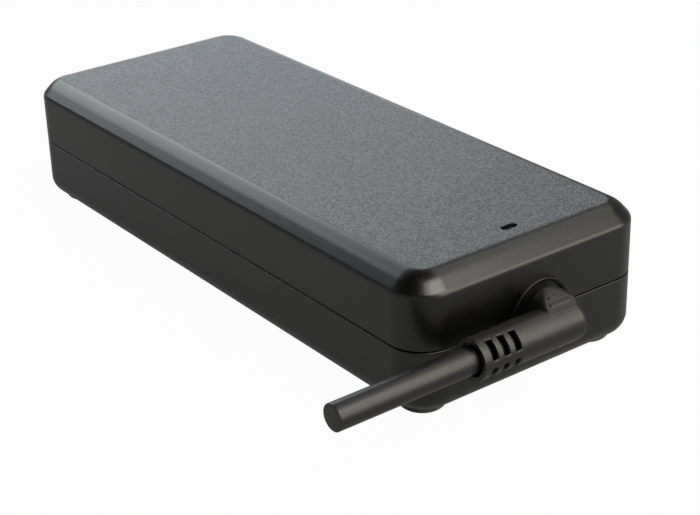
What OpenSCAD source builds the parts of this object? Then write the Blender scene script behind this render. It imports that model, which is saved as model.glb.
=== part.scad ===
// Laptop power adapter with a swivelling right-angle cord exit.
// Millimetres. +X is the cord end, -X the mains end, +Z up.
// The origin is on the table, under the middle of the case.

/* [Case] */
// Length of the case along X
case_l = 150; // [146:1:160]
// Width of the case along Y
case_w = 60.7; // [60:0.1:68]
// Height of the case without its feet
case_h = 29.5; // [29.5:0.1:33]
// Radius of the upright corners
corner_r = 8; // [7:0.5:9]
// Thickness of the case wall
wall = 2.2; // [1.9:0.1:2.3]
// How far the roof bevel comes in from the side
bevel_in = 3.2; // [2.8:0.1:3.8]
// How far the roof bevel reaches down the side
bevel_down = 3.6; // [2.8:0.1:4.2]
// Rounding between the roof and its bevel
bevel_top_r = 5.4; // [2:0.1:5.5]
// Rounding between the bevel and the side
bevel_low_r = 1.8; // [0.5:0.1:2.2]
// Rounding of the lower edge
base_edge_r = 4.4; // [3.5:0.1:4.6]
// Height of the lower half above the underside
lower_half_h = 14.2; // [13.6:0.1:15]
// Open line that shows between the two halves
parting_gap = 0.3; // [0.2:0.05:0.5]
// Overlap of the upper half's lip inside the lower half
lip_h = 2; // [1.5:0.1:2.5]
// Thickness of the lower half's skin outside the lip
lip_skin = 1.1; // [0.9:0.1:1.3]

/* [Feet] */
// Diameter of a rubber foot
foot_d = 10; // [8:0.5:11]
// How far a foot stands out of the underside
foot_drop = 1.7; // [1:0.1:2.2]
// Depth of the pocket that a foot is glued into
foot_pocket = 0.8; // [0.5:0.1:1]
// Distance from a foot's centre to the end of the case
foot_from_end = 8.3; // [8:0.1:14]
// Distance from a foot's centre to the side of the case
foot_from_side = 8.1; // [8:0.1:12]
// Rounding of a foot's lower rim
foot_round = 1.6; // [0.5:0.1:2]

/* [Mains inlet] */
// Width of the inlet body
inlet_w = 26.8; // [26.4:0.1:28]
// Height of the inlet body
inlet_h = 19.6; // [19:0.1:20.5]
// Depth of the inlet body behind the end face
inlet_depth = 20; // [19.5:0.1:20.5]
// Depth of the inlet's recess
recess_depth = 17.5; // [16.5:0.1:17.8]
// Width of the recess
recess_w = 24; // [23.8:0.1:24.4]
// Height of the recess
recess_h = 15.6; // [15.4:0.1:16]
// Distance between the line and neutral blades
blade_pitch = 14; // [13.8:0.1:14.2]
// Thickness of a blade
blade_t = 2; // [1.8:0.1:2.2]
// Height of a blade
blade_h = 4; // [3.8:0.1:4.2]
// How far the blades stop behind the end face
blade_setback = 2.5; // [2:0.1:4]

/* [Board] */
// Thickness of the circuit board
board_t = 1.6; // [1.2:0.1:2]
// Height of the posts that carry the board
post_h = 3.5; // [3:0.1:4]
// Gap between the inlet and the board
board_gap = 1; // [0.6:0.1:1.4]
// Distance from the cord end of the case to the board
board_from_end = 11; // [10.5:0.1:12]
// Gap between the board and the side walls
board_side_gap = 1.85; // [1.5:0.05:2.2]
// Diameter of a post
post_d = 5.2; // [4.6:0.1:6]
// Diameter of the locating pin on a post
pin_d = 2.4; // [2:0.1:2.6]
// Thickness of a shield plate
shield_t = 0.5; // [0.3:0.1:0.6]
// Thickness of the insulating sheet
sheet_t = 0.4; // [0.3:0.1:0.5]

/* [Power parts] */
// Height of the transformer and the boost choke
core_h = 18.5; // [17:0.1:18.5]
// Length of the boost choke
boost_l = 21; // [19:0.5:22]
// Width of the boost choke
boost_w = 19; // [17:0.5:20]
// Length of the transformer
trafo_l = 26; // [24:0.5:28]
// Width of the transformer
trafo_w = 20; // [18:0.5:21]
// Diameter of the mains smoothing capacitor
bulk_d = 16; // [14:0.5:16.5]
// Length of the mains smoothing capacitor
bulk_l = 34; // [30:1:35]
// Length of the film capacitor across the mains
x_cap_w = 18; // [15:0.5:18]
// Outer diameter of the filter's ring core
filter_od = 17.5; // [15:0.5:17.5]
// Diameter of an output capacitor
out_cap_d = 10; // [8:0.5:10.5]
// Height of an output capacitor
out_cap_h = 17.5; // [15:0.5:18]
// Thickness of a heat sink plate
sink_t = 1.6; // [1.2:0.1:2]
// Height of a heat sink
sink_h = 17; // [14:0.5:17.5]

/* [Swivel exit] */
// How far the swivel axis lies above the line between the halves
exit_rise = 0.25; // [0:0.05:0.4]
// Diameter of the neck that turns in the bushing
neck_d = 11.2; // [10.6:0.1:11.6]
// Radial running clearance of the neck
neck_clear = 0.05; // [0.03:0.01:0.08]
// Outer diameter of the ring on the end wall
ring_d = 15.3; // [15:0.1:16]
// How far the ring stands out of the end wall
ring_proud = 1.4; // [1:0.1:1.6]
// Side of the bushing's square plate inside the wall
plate_side = 20; // [19:0.5:20]
// Thickness of that plate
plate_t = 1.8; // [1.4:0.1:2.2]
// Angle through which the exit swings
swing = 180; // [120:5:200]
// Diameter of the head of the exit
head_d = 11; // [10.5:0.1:11.6]
// Distance from the end wall to the front of the head
head_front = 8.55; // [8.4:0.05:9]
// How far the head sits above the swivel axis
head_rise = 1; // [0.6:0.1:1.2]
// Forward tilt of the head's upper flat
flat_top = 28; // [25:1:31]
// Forward tilt of the head's lower flat
flat_low = 14; // [11:1:17]
// Diameter of the sleeve round the cord
sleeve_d = 8.6; // [8.2:0.1:8.8]
// Distance from the end wall to the sleeve's axis
sleeve_out = 6.35; // [6.2:0.05:6.6]
// Distance from the swivel axis to the sleeve's mouth
sleeve_l = 22.25; // [21:0.25:24]
// Bore of the sleeve's open part
sleeve_bore = 6.6; // [6.3:0.1:6.8]
// Width of a window in the sleeve
window_w = 1.2; // [1:0.05:1.4]
// Distance from one window to the next
window_pitch = 2.75; // [2.5:0.05:2.9]

/* [Cord] */
// Diameter of the output cord
cord_d = 5.5; // [5:0.1:5.8]
// Diameter of the bundle of cores
cores_d = 4; // [3.4:0.1:4.2]

/* [Hidden] */
$fn = 48;
fit = 0.05;
// How far a cutter reaches past a face, and how far joined solids run into each other
over = 1;
bite = 0.5;
base_z = foot_drop;
top_z = base_z + case_h;
parting_z = base_z + lower_half_h;
floor_z = base_z + wall;
roof_z = top_z - wall;
end_x = case_l / 2;
side_y = case_w / 2;
bevel_angle = atan(bevel_in / bevel_down);
profile_steps = 6;
low_steps = 3;
shell_fn = 48;
big = 2 * case_l;

// Rails inside the case
rail_t = 1.4;
rail_gap = 0.5;

// Feet
foot_x = end_x - foot_from_end;
foot_y = side_y - foot_from_side;

// Inlet
inlet_back = -end_x + inlet_depth;
inlet_flange_t = 1.6;
inlet_flange_rim = 1.4;
inlet_chamfer = 5;
inlet_corner_r = 1;
blade_drop = 2;
blade_back = inlet_back + 2.6;
lead_d = 1.8;

// Board and shields
board_w = case_w - 2 * wall - 2 * board_side_gap;
board_x0 = inlet_back + board_gap;
board_x1 = end_x - board_from_end;
board_z = floor_z + post_h;
board_top = board_z + board_t;
post_x0 = board_x0 + 4.8;
post_x1 = board_x1 - 4.8;
post_y = board_w / 2 - 2.5;
hole_fit = 0.1;
pin_proud = 0.5;
post_hole_d = post_d + 1;
sheet_side_gap = 2.4;
shield_inset = 0.4;
shield_x0 = board_x0 + 3;
shield_x1 = board_x1 - 3;
shield_y = side_y - wall - 0.6;
shield_top = roof_z - 0.3;
shield_skirt_z = parting_z - 1;
shield_bevel = 2.6;

// Rows of parts on the board, from the mains end towards the cord end
part_gap = 0.6;
edge_gap = 2;
seat_gap = 0.2;
row_x = board_x0 + post_d - part_gap;
low_y = edge_gap - board_w / 2;
x_cap_l = 8;
x_cap_h = 14;
x_cap_y = -post_y + pin_d / 2 + part_gap;
varistor_r = 6;
varistor_t = 4;
varistor_y = x_cap_y + x_cap_w + part_gap + varistor_r;
fuse_d = 8.4;
fuse_h = 8;
fuse_y = varistor_y + varistor_r + part_gap + fuse_d / 2;
filter_id = 8.5;
filter_w = 8;
wire_t = 0.6;
winding_gap = 3;
winding_clear = 0.02;
filter_x = row_x + x_cap_l + part_gap + filter_w / 2 + wire_t;
filter_y = low_y + filter_od / 2 + wire_t;
core_wall = 3;
coil_gap = 0.3;
boost_leg = 7;
boost_x = filter_x + filter_w / 2 + wire_t + part_gap + boost_l / 2;
boost_y = low_y + boost_w / 2;
trafo_leg = 9;
bobbin_t = 0.8;
trafo_x = boost_x + boost_l / 2 + part_gap + trafo_l / 2;
trafo_y = low_y + trafo_w / 2;
sink_y = board_w / 2 - 0.8;
sink_x0 = row_x + x_cap_l + part_gap;
sink_l = 60;
package_t = 4.4;
package_l = 10;
package_h = 16;
package_lift = 1;
package_pitch = 15;
package_first = 28;
package_x = sink_x0 + package_first;
bridge_l = 22;
bridge_t = 3.5;
bridge_x = sink_x0 + 2;
bulk_x = boost_x - boost_l / 2;
bulk_y = sink_y - sink_t - package_t - part_gap - bulk_d / 2;
chip_x = bulk_x + bulk_l + part_gap;
chip_y = bulk_y - bulk_d / 2;
opto_l = 5;
opto_w = 7;
opto_h = 3.6;
controller_side = 6;
controller_h = 1.8;
y_cap_r = 4;
y_cap_t = 3.4;

// Output stage, from the cord end of the board
sink2_l = 24;
sink2_x1 = post_x1 - pin_d / 2 - part_gap;
out_cap_pitch = out_cap_d + 1;
out_cap_y = board_w / 2 - edge_gap - out_cap_d / 2;
choke_r = 5;
choke_h = 13;
choke_x = sink2_x1 - choke_r - part_gap;
choke_y = -sink_y + sink_t + package_t + part_gap + choke_r;
pad_end_gap = 4;
pad_h = 8;
pad_lift = 1;
lead_bend = 3.5;
lead_run = 2;

// Swivel
axis_z = parting_z + exit_rise;
plate_x1 = end_x - wall - fit;
plate_x0 = plate_x1 - plate_t;
bushing_d = ring_d - 0.9;
ring_bore_d = ring_d - 1.5;
ring_floor = 0.4;
ring_round = 0.35;
bushing_bore_d = neck_d + 2 * neck_clear;
collar_t = 1.85;
collar_play = 0.2;
collar_x1 = plate_x0 - collar_play;
collar_x0 = collar_x1 - collar_t;
collar_d = 16.4;
groove_d = neck_d - 1.6;
tab_reach = 1.6;
tab_angle = 20;
stop_play = 1;
stop_gap = 0.3;
stop_half = (360 - swing - tab_angle) / 2 - stop_play;
neck_x0 = collar_x0 - 1.9;
neck_x1 = end_x + 3.6;
head_x1 = end_x + head_front;
head_x0 = end_x + 2.3;
head_round = 0.6;
flat_sink = 0.05;
head_z = axis_z + head_rise;
flat_r = sleeve_d / 2 - flat_sink;
sleeve_x = end_x + sleeve_out;
sleeve_end_y = 3.9;
sleeve_round = 1.3;
mouth_round = 0.3;
side_cut_back = 0.95;
side_cut_angle = 30;
grip_y = -9;
cord_in_y = -6;
grip_clear = 0.05;
cores_clear = 0.1;
bend_r = 5;
bend_y = -bend_r;
bend_x = sleeve_x - bend_r;
window_first = 1.8;
window_rows = 3;
// Middle of a window above or below the sleeve's side, and the angle it spans
window_mid = 40.5;
window_angle = 57;
bar_proud = 0.22;
bar_w = 0.7;
// Each grip bar: distance up the flat from the sleeve's axis, start and end along the sleeve
bars = [[3.2, -1.9, 1.8], [1.6, -2.7, 2.5]];

// Light
led_x = end_x - 9;
led_y = 0.6;
slot_l = 3.8;
slot_w = 1.7;
lens_sink = 0.2;
lens_flange_t = 1;
lens_rim = 1;
led_gap = 0.1;
led_d = 3;
led_body_h = 3.4;
led_lead_x = board_x1 - 1.5;
led_pitch = 1.4;
led_lead_d = 0.5;
led_splay = 3.2;

// Cord: round numbers along its middle line, and the rings swept along them
cord_route = [
    [sleeve_x, cord_in_y, axis_z],
    [sleeve_x, -16, axis_z],
    [sleeve_x, -26, axis_z],
    [sleeve_x, -36, axis_z],
    [sleeve_x, -46, axis_z],
    [sleeve_x, -54.7, axis_z]
];
cord_sides = 12;

// ---------- shared shapes ----------

function arc_points(cx, cy, r, a0, a1, n) =
    [for (i = [0 : n]) let (a = a0 + (a1 - a0) * i / n) [cx + r * cos(a), cy + r * sin(a)]];

// Upright section of the case at a corner, seen from the corner's axis. inset moves every face inwards.
function case_section(inset) =
    let (
        r = corner_r - inset,
        edge = base_edge_r - inset,
        z0 = base_z + inset,
        z1 = top_z - inset,
        z_side = top_z - bevel_down - inset * tan(bevel_angle / 2),
        turn = (90 - bevel_angle) / 2,
        r_roof = corner_r - bevel_in - inset * tan(turn),
        blend = bevel_top_r * (1 - inset / (2 * wall)),
        r_flat = r_roof - blend * tan(turn),
        low = bevel_low_r * (1 - inset / (2 * wall)),
        z_low = z_side - low * tan(bevel_angle / 2)
    )
    concat(
        [[0, z0]],
        arc_points(r - edge, z0 + edge, edge, -90, 0, profile_steps),
        arc_points(r - low, z_low, low, 0, bevel_angle, low_steps),
        arc_points(r_flat, z1 - blend, blend, bevel_angle, 90, profile_steps),
        [[0, z1]]
    );

module at_corners(x, y) {
    for (sx = [-1, 1], sy = [-1, 1]) {
        translate([sx * x, sy * y, 0]) children();
    }
}

module case_solid(inset) {
    hull() {
        at_corners(end_x - corner_r, side_y - corner_r) {
            rotate_extrude($fn = shell_fn) polygon(case_section(inset));
        }
    }
}

module round_rect(l, w, r) {
    square([l - 2 * r, w], center = true);
    square([l, w - 2 * r], center = true);
    for (sx = [-1, 1], sy = [-1, 1]) {
        translate([sx * (l / 2 - r), sy * (w / 2 - r)]) circle(r);
    }
}

// Upright prism with the plan of the case, its faces moved inwards by inset
module case_plan(inset, z0, z1) {
    translate([0, 0, z0]) linear_extrude(z1 - z0) {
        round_rect(case_l - 2 * inset, case_w - 2 * inset, corner_r - inset);
    }
}

module box(x0, x1, y0, y1, z0, z1) {
    translate([x0, y0, z0]) cube([x1 - x0, y1 - y0, z1 - z0]);
}

// Turns a shape that rises along +Z so that it runs along +X at the swivel axis
module along_swivel(x) {
    translate([x, 0, axis_z]) rotate([0, 90, 0]) children();
}

// Turns a shape that rises along +Z so that it runs along +Y in the sleeve's axis
module along_sleeve(y) {
    translate([sleeve_x, y, axis_z]) rotate([-90, 0, 0]) children();
}

// Cylinder with a rounded rim at its upper end
module rounded_disc(r, h, rim) {
    rotate_extrude() {
        square([r - rim, h]);
        square([r, h - rim]);
        translate([r - rim, h - rim]) intersection() {
            circle(rim);
            square(rim);
        }
    }
}

// ---------- case ----------

module exit_hole() {
    along_swivel(end_x - wall - over) cylinder(d = bushing_d + 2 * fit, h = wall + 2 * over);
}

module inlet_hole() {
    translate([-end_x - over, 0, parting_z]) rotate([90, 0, 90]) linear_extrude(wall + 2 * over) {
        round_rect(inlet_w + 2 * fit, inlet_h + 2 * fit, inlet_corner_r);
    }
}

// Rails beside the bushing's plate, which keep it from turning
module plate_rails(z0, z1) {
    for (s = [-1, 1]) {
        y = s * (plate_side / 2 + fit + rail_t / 2);
        box(plate_x0, end_x - wall + bite, y - rail_t / 2, y + rail_t / 2, z0, z1);
    }
}

// Rails behind the inlet's flange
module inlet_rails(z0, z1) {
    rail_x = -end_x + wall + inlet_flange_t + fit;
    for (s = [-1, 1]) {
        y = s * (inlet_w / 2 + rail_gap + rail_t / 2);
        box(rail_x, rail_x + rail_t, y - rail_t / 2, y + rail_t / 2, z0, z1);
    }
}

module board_posts() {
    for (x = [post_x0, post_x1], s = [-1, 1]) {
        translate([x, s * post_y, floor_z - bite]) {
            cylinder(d = post_d, h = post_h + bite);
            cylinder(d = pin_d, h = bite + post_h + board_t + pin_proud);
        }
    }
}

module bottom_cover() {
    color("#2b2b2b") difference() {
        union() {
            difference() {
                case_solid(0);
                case_solid(wall);
                box(-big, big, -big, big, parting_z - parting_gap / 2, top_z + over);
                case_plan(lip_skin, parting_z - lip_h, top_z + over);
            }
            board_posts();
            plate_rails(floor_z - bite, parting_z - lip_h);
            inlet_rails(floor_z - bite, parting_z - lip_h);
        }
        exit_hole();
        inlet_hole();
        at_corners(foot_x, foot_y) {
            translate([0, 0, base_z - over]) cylinder(d = foot_d + 2 * fit, h = over + foot_pocket);
        }
    }
}

module led_slot(grow, z0, z1) {
    translate([led_x, led_y, z0]) linear_extrude(z1 - z0) {
        square([slot_w + 2 * grow, slot_l - slot_w], center = true);
        for (s = [-1, 1]) {
            translate([0, s * (slot_l - slot_w) / 2]) circle(d = slot_w + 2 * grow);
        }
    }
}

module top_cover() {
    color("#3a3c40") difference() {
        union() {
            difference() {
                case_solid(0);
                case_solid(wall);
                box(-big, big, -big, big, base_z - over, parting_z + parting_gap / 2);
            }
            difference() {
                case_plan(lip_skin + fit, parting_z - lip_h, parting_z + parting_gap);
                case_plan(wall, parting_z - lip_h - over, parting_z + over);
            }
            plate_rails(parting_z + parting_gap, roof_z + bite);
        }
        exit_hole();
        inlet_hole();
        led_slot(0, roof_z - over, top_z + over);
    }
}

module rubber_feet() {
    color("#1c1c1c") at_corners(foot_x, foot_y) {
        translate([0, 0, base_z + foot_pocket]) mirror([0, 0, 1]) {
            rounded_disc(foot_d / 2, foot_drop + foot_pocket, foot_round);
        }
    }
}

// ---------- mains inlet ----------

module recess_outline() {
    polygon([
        [-recess_w / 2, -recess_h / 2],
        [recess_w / 2, -recess_h / 2],
        [recess_w / 2, recess_h / 2 - inlet_chamfer],
        [recess_w / 2 - inlet_chamfer, recess_h / 2],
        [inlet_chamfer - recess_w / 2, recess_h / 2],
        [-recess_w / 2, recess_h / 2 - inlet_chamfer]
    ]);
}

module blade_slots() {
    blade_at(-1, -blade_drop, fit);
    blade_at(1, -blade_drop, fit);
    blade_at(0, blade_drop, fit);
}

// One blade: side is -1, 0 or 1 across the inlet, rise is its height above the inlet's middle
module blade_at(side, rise, grow) {
    y = side * blade_pitch / 2;
    z = parting_z + rise;
    box(
        -end_x + blade_setback, blade_back,
        y - blade_t / 2 - grow, y + blade_t / 2 + grow,
        z - blade_h / 2 - grow, z + blade_h / 2 + grow
    );
}

module ac_inlet() {
    color("#222222") difference() {
        union() {
            translate([-end_x, 0, parting_z]) rotate([90, 0, 90]) linear_extrude(inlet_depth) {
                round_rect(inlet_w, inlet_h, inlet_corner_r);
            }
            box(
                -end_x + wall, -end_x + wall + inlet_flange_t,
                -inlet_w / 2 - inlet_flange_rim, inlet_w / 2 + inlet_flange_rim,
                parting_z - inlet_h / 2, parting_z + inlet_h / 2
            );
        }
        translate([-end_x - over, 0, parting_z]) rotate([90, 0, 90]) linear_extrude(recess_depth + over) {
            recess_outline();
        }
        blade_slots();
    }
}

module line_pin() {
    color("#c9ccd0") blade_at(-1, -blade_drop, 0);
}

module neutral_pin() {
    color("#c9ccd0") blade_at(1, -blade_drop, 0);
}

module earth_pin() {
    color("#c9ccd0") blade_at(0, blade_drop, 0);
}

// Stiff leads from the blades' tabs down to the board
module inlet_leads() {
    lead_x = board_x0 + lead_d / 2;
    color("#c87a3c") for (side = [-1, 0, 1]) {
        rise = side == 0 ? blade_drop : -blade_drop;
        translate([lead_x, side * blade_pitch / 2, board_top]) {
            cylinder(d = lead_d, h = parting_z + rise - blade_h / 2 - board_top);
        }
    }
}

// ---------- board and shields ----------

module circuit_board() {
    color("#2f6b3a") difference() {
        box(board_x0, board_x1, -board_w / 2, board_w / 2, board_z, board_top);
        for (x = [post_x0, post_x1], s = [-1, 1]) {
            translate([x, s * post_y, board_z - over]) {
                cylinder(d = pin_d + 2 * hole_fit, h = board_t + 2 * over);
            }
        }
    }
}

// Flat sheet on the floor of the case, with holes for the posts
module floor_sheet(z0, t, inset) {
    difference() {
        box(
            board_x0 + inset, board_x1 - inset,
            -side_y + wall + sheet_side_gap + inset, side_y - wall - sheet_side_gap - inset,
            z0, z0 + t
        );
        for (x = [post_x0, post_x1], s = [-1, 1]) {
            translate([x, s * post_y, z0 - over]) cylinder(d = post_hole_d, h = t + 2 * over);
        }
    }
}

module lower_shield() {
    color("#b87445") floor_sheet(floor_z, shield_t, shield_inset);
}

module insulating_sheet() {
    color("#e8e2cf") floor_sheet(floor_z + shield_t, sheet_t, 0);
}

// Section of the upper shield's face, moved inwards by inset and open below foot_z
function shield_section(inset, foot_z) =
    let (
        corner = inset * tan(22.5),
        half = [
            [shield_y - inset, foot_z],
            [shield_y - inset, shield_top - shield_bevel - corner],
            [shield_y - shield_bevel - corner, shield_top - inset]
        ]
    )
    concat(half, [for (i = [len(half) - 1 : -1 : 0]) [-half[i][0], half[i][1]]]);

module upper_shield() {
    color("#b87445") translate([shield_x0, 0, 0]) rotate([90, 0, 90]) {
        linear_extrude(shield_x1 - shield_x0) difference() {
            polygon(shield_section(0, shield_skirt_z));
            polygon(shield_section(shield_t, shield_skirt_z - over));
        }
    }
}

module thermal_pads() {
    z0 = parting_z + pad_lift;
    y0 = sink_y;
    y1 = shield_y - shield_t;
    color("#7fb2c8") {
        box(sink_x0 + pad_end_gap, sink_x0 + sink_l - pad_end_gap, y0, y1, z0, z0 + pad_h);
        box(sink2_x1 - sink2_l + pad_end_gap, sink2_x1 - pad_end_gap, -y1, -y0, z0, z0 + pad_h);
    }
}

// ---------- mains filter ----------

module fuse() {
    color("#4a3226") translate([row_x + x_cap_l / 2, fuse_y, board_top]) cylinder(d = fuse_d, h = fuse_h);
}

module varistor() {
    color("#2f5fa8") translate([row_x + part_gap, varistor_y, board_top + varistor_r + seat_gap]) {
        rotate([0, 90, 0]) cylinder(r = varistor_r, h = varistor_t);
    }
}

module x_capacitor() {
    color("#d8b02c") box(
        row_x, row_x + x_cap_l,
        x_cap_y, x_cap_y + x_cap_w,
        board_top, board_top + x_cap_h
    );
}

// Ring core that stands on edge, with its windings standing on the board
module at_filter() {
    translate([filter_x, filter_y, board_top + filter_od / 2 + wire_t]) rotate([0, 90, 0]) children();
}

module ring(od, id, h) {
    translate([0, 0, -h / 2]) difference() {
        cylinder(d = od, h = h);
        translate([0, 0, -over]) cylinder(d = id, h = h + 2 * over);
    }
}

module filter_core() {
    color("#3d7a55") at_filter() ring(filter_od, filter_id, filter_w);
}

module filter_windings() {
    color("#b5652a") at_filter() difference() {
        ring(filter_od + 2 * wire_t, filter_id - 2 * wire_t, filter_w + 2 * wire_t);
        ring(filter_od + 2 * winding_clear, filter_id - 2 * winding_clear, filter_w + 2 * winding_clear);
        box(-big, big, -winding_gap / 2, winding_gap / 2, -big, big);
    }
}

// ---------- rectifier and boost stage ----------

module bridge_rectifier() {
    color("#262626") box(
        bridge_x, bridge_x + bridge_l,
        sink_y - sink_t - bridge_t, sink_y - sink_t,
        board_top, board_top + package_h
    );
}

// Framed ferrite core with a round middle leg, open on its two long sides
module framed_core(x, y, l, w, leg_d) {
    x0 = x - l / 2;
    translate([0, 0, board_top]) {
        difference() {
            box(x0, x0 + l, y - w / 2, y + w / 2, 0, core_h);
            box(x0 + core_wall, x0 + l - core_wall, y - w, y + w, core_wall, core_h - core_wall);
        }
        translate([x, y, core_wall / 2]) cylinder(d = leg_d, h = core_h - core_wall);
    }
}

module coil_ring(x, y, od, id, z0, z1) {
    translate([x, y, z0]) difference() {
        cylinder(d = od, h = z1 - z0);
        translate([0, 0, -over]) cylinder(d = id, h = z1 - z0 + 2 * over);
    }
}

module boost_core() {
    color("#4b4b4f") framed_core(boost_x, boost_y, boost_l, boost_w, boost_leg);
}

module boost_coil() {
    color("#c58a2b") coil_ring(
        boost_x, boost_y, boost_l - 2 * core_wall - 2 * coil_gap, boost_leg + 2 * fit,
        board_top + core_wall, board_top + core_h - core_wall
    );
}

module bulk_capacitor() {
    color("#1f2f55") translate([bulk_x, bulk_y, board_top + bulk_d / 2 + seat_gap]) rotate([0, 90, 0]) {
        cylinder(d = bulk_d, h = bulk_l);
    }
}

module primary_heatsink() {
    color("#b9bcc0") box(
        sink_x0, sink_x0 + sink_l,
        sink_y - sink_t, sink_y,
        board_top, board_top + sink_h
    );
}

module primary_transistors() {
    color("#262626") for (i = [0, 1]) {
        x = package_x + package_pitch * i;
        z = board_top + package_lift;
        box(x, x + package_l, sink_y - sink_t - package_t, sink_y - sink_t, z, z + package_h);
    }
}

// ---------- switching stage ----------

module transformer_core() {
    color("#3f4045") framed_core(trafo_x, trafo_y, trafo_l, trafo_w, trafo_leg);
}

module transformer_bobbin() {
    z0 = board_top + core_wall;
    z1 = board_top + core_h - core_wall;
    od = trafo_l - 2 * core_wall - 2 * coil_gap;
    color("#d9d4c4") {
        coil_ring(trafo_x, trafo_y, trafo_leg + 2 * fit + 2 * bobbin_t, trafo_leg + 2 * fit, z0, z1);
        coil_ring(trafo_x, trafo_y, od, trafo_leg + 2 * fit, z0, z0 + bobbin_t);
        coil_ring(trafo_x, trafo_y, od, trafo_leg + 2 * fit, z1 - bobbin_t, z1);
    }
}

module transformer_winding() {
    color("#e3c13a") coil_ring(
        trafo_x, trafo_y,
        trafo_l - 2 * core_wall - 3 * coil_gap,
        trafo_leg + 4 * fit + 2 * bobbin_t,
        board_top + core_wall + bobbin_t, board_top + core_h - core_wall - bobbin_t
    );
}

module optocoupler() {
    color("#e9e9e9") box(
        chip_x, chip_x + opto_l,
        chip_y, chip_y + opto_w,
        board_top, board_top + opto_h
    );
}

module controller_chip() {
    y = chip_y + opto_w + part_gap;
    color("#1b1b1b") box(
        chip_x, chip_x + controller_side,
        y, y + controller_side,
        board_top, board_top + controller_h
    );
}

module y_capacitor() {
    x = chip_x + controller_side + part_gap;
    color("#3a6fc0") translate([x, chip_y + y_cap_r, board_top + y_cap_r + seat_gap]) rotate([0, 90, 0]) {
        cylinder(r = y_cap_r, h = y_cap_t);
    }
}

// ---------- output stage ----------

module secondary_heatsink() {
    color("#b9bcc0") box(
        sink2_x1 - sink2_l, sink2_x1,
        -sink_y, -sink_y + sink_t,
        board_top, board_top + sink_h
    );
}

module output_rectifier() {
    x = sink2_x1 - sink2_l / 2 - package_l / 2;
    z = board_top + package_lift;
    color("#262626") box(
        x, x + package_l,
        -sink_y + sink_t, -sink_y + sink_t + package_t,
        z, z + package_h
    );
}

module output_choke() {
    color("#b5652a") translate([choke_x, choke_y, board_top]) cylinder(r = choke_r, h = choke_h);
}

module output_capacitors() {
    color("#20242c") for (i = [0, 1]) {
        translate([sink2_x1 - out_cap_d / 2 - out_cap_pitch * i, out_cap_y, board_top]) {
            cylinder(d = out_cap_d, h = out_cap_h);
        }
    }
}

// Bundle of output leads: up from the board, round a bend and along the swivel axis
module output_leads() {
    turn_x = neck_x0 - lead_run;
    color("#303030") {
        along_swivel(turn_x) cylinder(d = cores_d, h = neck_x0 - turn_x);
        translate([turn_x, 0, axis_z - lead_bend]) rotate([90, 0, 0]) rotate([0, 0, 90]) {
            rotate_extrude(angle = 90) translate([lead_bend, 0]) circle(d = cores_d);
        }
        translate([turn_x - lead_bend, 0, board_top]) {
            cylinder(d = cores_d, h = axis_z - lead_bend - board_top);
        }
    }
}

// ---------- status light ----------

module led_lens() {
    color("#101010") {
        led_slot(-fit, roof_z - lens_flange_t / 2, top_z - lens_sink);
        led_slot(lens_rim, roof_z - lens_flange_t, roof_z);
    }
}

module status_led() {
    dome_z = roof_z - lens_flange_t - led_gap - led_d / 2;
    base = dome_z - led_body_h;
    color("#e8f0e0") translate([led_x, led_y, base]) {
        cylinder(d = led_d, h = led_body_h);
        translate([0, 0, led_body_h]) sphere(d = led_d);
    }
    color("#c9ccd0") for (s = [-1, 1]) {
        half = led_lead_d / 2;
        y_in = led_y + s * led_pitch / 2;
        y_out = led_y + s * led_splay;
        box(
            led_x - half, led_x + half,
            min(y_in - half, y_out - half), max(y_in + half, y_out + half),
            base - led_lead_d, base
        );
        box(led_lead_x - half, led_x + half, y_out - half, y_out + half, base - led_lead_d, base);
        box(led_lead_x - half, led_lead_x + half, y_out - half, y_out + half, board_top, base);
    }
}

// ---------- swivel exit ----------

// Angles round the swivel axis are measured from -Z towards +Y
module sector(r0, r1, from, to) {
    steps = 12;
    difference() {
        polygon(concat(
            [[0, 0]],
            [for (i = [0 : steps])
                let (a = from + (to - from) * i / steps)
                1.3 * r1 * [cos(a), sin(a)]]
        ));
        circle(r0);
    }
}

module exit_bushing() {
    color("#232323") {
        difference() {
            union() {
                box(
                    plate_x0, plate_x1,
                    -plate_side / 2, plate_side / 2,
                    axis_z - plate_side / 2, axis_z + plate_side / 2
                );
                along_swivel(plate_x1 - bite) cylinder(d = bushing_d, h = end_x - plate_x1 + bite + fit);
                along_swivel(end_x) rounded_disc(ring_d / 2, ring_proud, ring_round);
                along_swivel(collar_x0) linear_extrude(plate_x0 - collar_x0 + bite) intersection() {
                    sector(collar_d / 2 + stop_gap, plate_side / 2, 90 - stop_half, 90 + stop_half);
                    circle(d = plate_side);
                }
            }
            along_swivel(collar_x0 - over) cylinder(d = bushing_bore_d, h = big);
            along_swivel(end_x + ring_floor) cylinder(d = ring_bore_d, h = ring_proud);
        }
    }
}

module swivel_collar() {
    color("#d8d8d2") along_swivel(collar_x0) linear_extrude(collar_t) difference() {
        union() {
            circle(d = collar_d);
            intersection() {
                sector(groove_d / 2, collar_d / 2 + tab_reach, -tab_angle / 2, tab_angle / 2);
                circle(r = collar_d / 2 + tab_reach);
            }
        }
        circle(d = groove_d + 2 * fit);
    }
}

// Tilts a shape about the sleeve's axis, so that its upper side leans forwards
module tilted(angle) {
    translate([sleeve_x, 0, axis_z]) rotate([0, angle, 0]) children();
}

// Round boss in front of the neck, with two flats that run on into the sleeve and a slanting side
module head() {
    intersection() {
        translate([head_x0, 0, head_z]) rotate([0, 90, 0]) {
            rounded_disc(head_d / 2, head_x1 - head_x0, head_round);
        }
        tilted(flat_top) box(-big, big, -big, big, -big, flat_r);
        tilted(-flat_low) box(-big, big, -big, big, -flat_r, big);
        translate([sleeve_x - side_cut_back, head_d / 2, 0]) rotate([0, 0, -side_cut_angle]) {
            box(-big, big, -big, 0, -big, big);
        }
    }
}

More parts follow.
